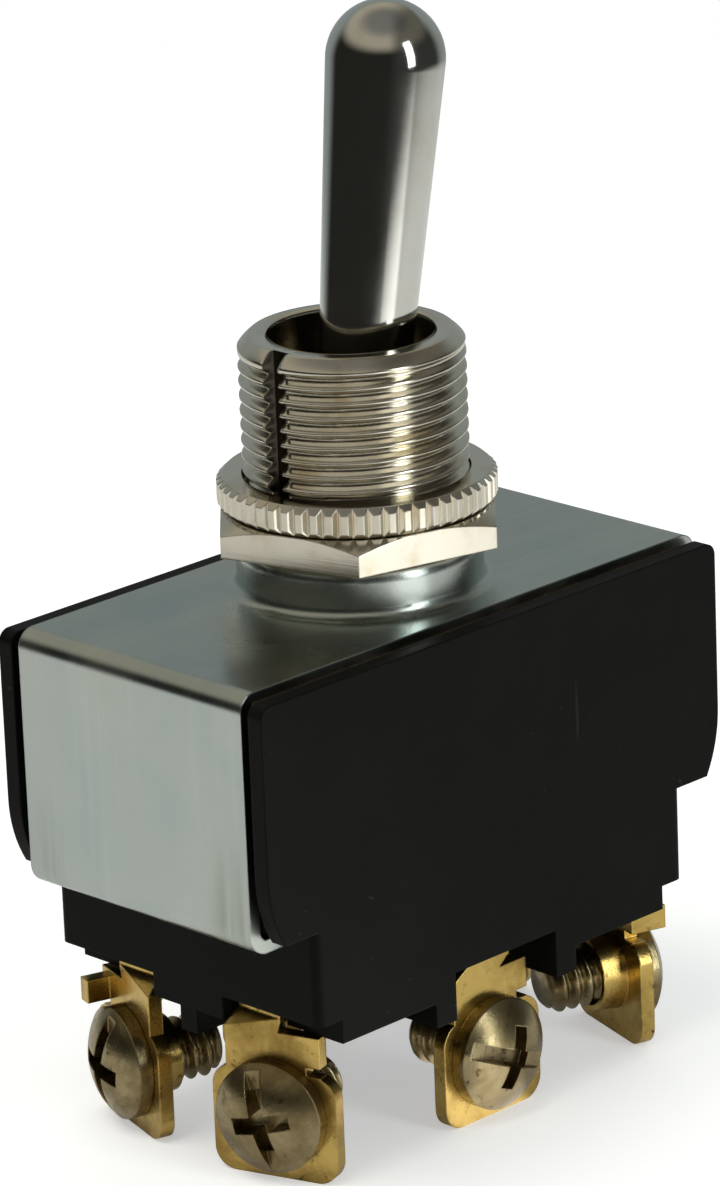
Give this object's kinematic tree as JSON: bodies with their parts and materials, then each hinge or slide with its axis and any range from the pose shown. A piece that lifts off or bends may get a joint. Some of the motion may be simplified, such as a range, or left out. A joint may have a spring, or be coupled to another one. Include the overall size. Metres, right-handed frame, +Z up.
{
  "type": "panel toggle switch",
  "caption": "Two-pole panel toggle switch with a bat lever in a threaded bushing, a folded steel frame over a black moulded case and screw terminals underneath.",
  "frame": {"origin": "on the bushing's axis, in the plane of the terminals' tips", "axes": "+Z up along the bushing's axis; +X along the rows of three terminals, towards the end that the lever leans to; +Y across the two poles, towards the rear pole"},
  "size_m": [0.0338, 0.0206, 0.0586],
  "materials": {
    "zinc_steel": "zinc plated sheet, bright with a soft grain",
    "nickel_plate": "bright nickel plate",
    "phenolic": "black phenolic moulding, satin",
    "brass_strip": "stamped brass strip",
    "tarnished_brass": "tarnished plated brass",
    "silver_contact": "silver, satin",
    "fibre_card": "vulcanised fibre sheet, matt",
    "spring_steel": "drawn steel, satin"
  },
  "bodies": {
    "switch_body": {"frame": "zinc_steel", "bushing": "nickel_plate", "insulating_card": "fibre_card", "case": "phenolic", "terminal_left_front": "brass_strip", "terminal_mid_front": "brass_strip", "terminal_right_front": "brass_strip", "terminal_left_rear": "brass_strip", "terminal_mid_rear": "brass_strip", "terminal_right_rear": "brass_strip", "contact_left_front": "silver_contact", "contact_right_front": "silver_contact", "contact_left_rear": "silver_contact", "contact_right_rear": "silver_contact"},
    "lever": {"toggle_lever": "nickel_plate", "pivot_pin": "spring_steel", "plunger_carrier": "phenolic", "spring_front": "spring_steel", "spring_rear": "spring_steel"},
    "plunger_front": {"plunger_front": "spring_steel"},
    "plunger_rear": {"plunger_rear": "spring_steel"},
    "rocker_front": {"rocker_front": "brass_strip", "rocker_contacts_front": "silver_contact"},
    "rocker_rear": {"rocker_rear": "brass_strip", "rocker_contacts_rear": "silver_contact"},
    "hex_nut": {"hex_nut": "nickel_plate"},
    "ring_nut": {"ring_nut": "nickel_plate"},
    "screw_left_front": {"screw_left_front": "tarnished_brass"},
    "screw_mid_front": {"screw_mid_front": "tarnished_brass"},
    "screw_right_front": {"screw_right_front": "tarnished_brass"},
    "screw_left_rear": {"screw_left_rear": "tarnished_brass"},
    "screw_mid_rear": {"screw_mid_rear": "tarnished_brass"},
    "screw_right_rear": {"screw_right_rear": "tarnished_brass"}
  },
  "joints": [
    {"name": "lever_tilt", "type": "hinge", "parent": "switch_body", "child": "lever", "pos_m": [0, 0, 0.0335], "axis": [0, 1, 0], "range_deg": [-17, 0]},
    {"name": "rocker_front_tilt", "type": "hinge", "parent": "switch_body", "child": "rocker_front", "pos_m": [0, -0.0045, 0.01577], "axis": [0, 1, 0], "range_deg": [0, 14]},
    {"name": "rocker_rear_tilt", "type": "hinge", "parent": "switch_body", "child": "rocker_rear", "pos_m": [0, 0.0045, 0.01577], "axis": [0, 1, 0], "range_deg": [0, 14]},
    {"name": "plunger_front_slide", "type": "slide", "parent": "lever", "child": "plunger_front", "axis": [0.1478, 0, 0.989], "range_m": [0, 0.0008], "stiffness_N_per_m": 120, "springref_m": -0.001, "deforming": ["spring_front"]},
    {"name": "plunger_rear_slide", "type": "slide", "parent": "lever", "child": "plunger_rear", "axis": [0.1478, 0, 0.989], "range_m": [0, 0.0008], "stiffness_N_per_m": 120, "springref_m": -0.001, "deforming": ["spring_rear"]},
    {"name": "hex_nut_travel", "type": "slide", "parent": "switch_body", "child": "hex_nut", "axis": [0, 0, 1], "range_m": [0, 0.003]},
    {"name": "ring_nut_travel", "type": "slide", "parent": "hex_nut", "child": "ring_nut", "axis": [0, 0, 1], "range_m": [0, 0.004]},
    {"name": "screw_left_front_travel", "type": "slide", "parent": "switch_body", "child": "screw_left_front", "axis": [-0.9537, -0.3007, 0], "range_m": [0, 0.0025]},
    {"name": "screw_mid_front_travel", "type": "slide", "parent": "switch_body", "child": "screw_mid_front", "axis": [0, -1, 0], "range_m": [0, 0.0025]},
    {"name": "screw_right_front_travel", "type": "slide", "parent": "switch_body", "child": "screw_right_front", "axis": [0.9537, -0.3007, 0], "range_m": [0, 0.0025]},
    {"name": "screw_left_rear_travel", "type": "slide", "parent": "switch_body", "child": "screw_left_rear", "axis": [-0.9537, 0.3007, 0], "range_m": [0, 0.0025]},
    {"name": "screw_mid_rear_travel", "type": "slide", "parent": "switch_body", "child": "screw_mid_rear", "axis": [0, 1, 0], "range_m": [0, 0.0025]},
    {"name": "screw_right_rear_travel", "type": "slide", "parent": "switch_body", "child": "screw_right_rear", "axis": [0.9537, 0.3007, 0], "range_m": [0, 0.0025]}
  ],
  "couplings": [
    {"joint": "rocker_front_tilt", "follows": "lever_tilt", "ratio": -0.8235},
    {"joint": "rocker_rear_tilt", "follows": "lever_tilt", "ratio": -0.8235}
  ]
}
